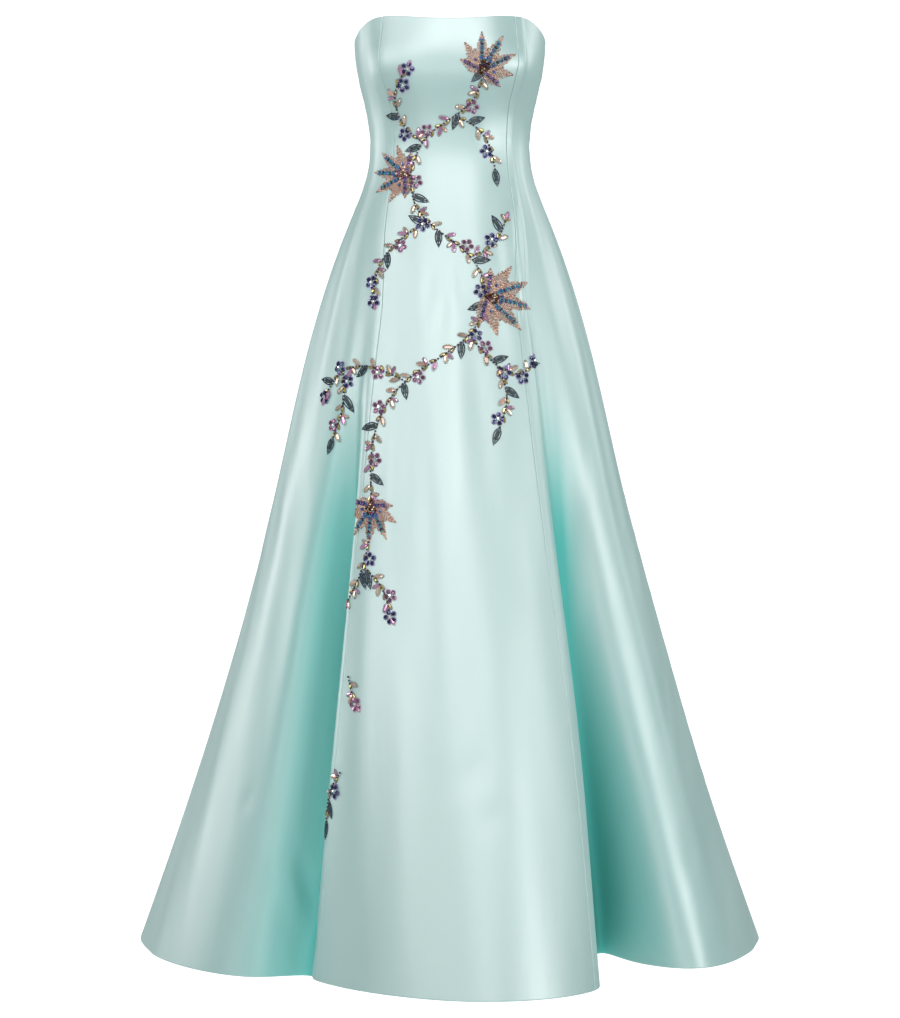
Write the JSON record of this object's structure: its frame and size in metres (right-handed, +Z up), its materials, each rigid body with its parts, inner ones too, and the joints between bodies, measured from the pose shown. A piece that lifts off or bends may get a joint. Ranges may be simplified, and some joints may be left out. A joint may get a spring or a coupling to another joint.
{
  "type": "strapless bustier gown",
  "caption": "Floor-length strapless A-line gown of stiff satin in princess panels with folds from the hips to the hem, hollow as worn, with a concealed zip at the centre back.",
  "frame": {"origin": "centre of the waist, where the wearer's body holds the gown", "axes": "+Z up, -Y the way the wearer faces, +X towards the wearer's left"},
  "size_m": [0.9678, 0.9781, 1.4199],
  "materials": {
    "satin": "heavy duchess satin in pale mint, broad soft sheen",
    "zip_tape": "plain woven zip tape, dyed to match",
    "zip_metal": "small zip slider and tab, enamelled to match",
    "beads": "sewn glass beads, stones and sequins in mixed colours"
  },
  "bodies": {
    "gown": {"front_panel": "satin", "side_front_left": "satin", "side_front_right": "satin", "side_back_left": "satin", "side_back_right": "satin", "back_left": "satin", "back_right": "satin", "zip_tape": "zip_tape", "zip_slider": "zip_metal"},
    "tab": {"zip_tab": "zip_metal"}
  },
  "joints": [
    {"name": "tab_swing", "type": "hinge", "parent": "gown", "child": "tab", "pos_m": [0, 0.09723, 0.14], "axis": [1, 0, 0], "range_deg": [0, 170]}
  ]
}
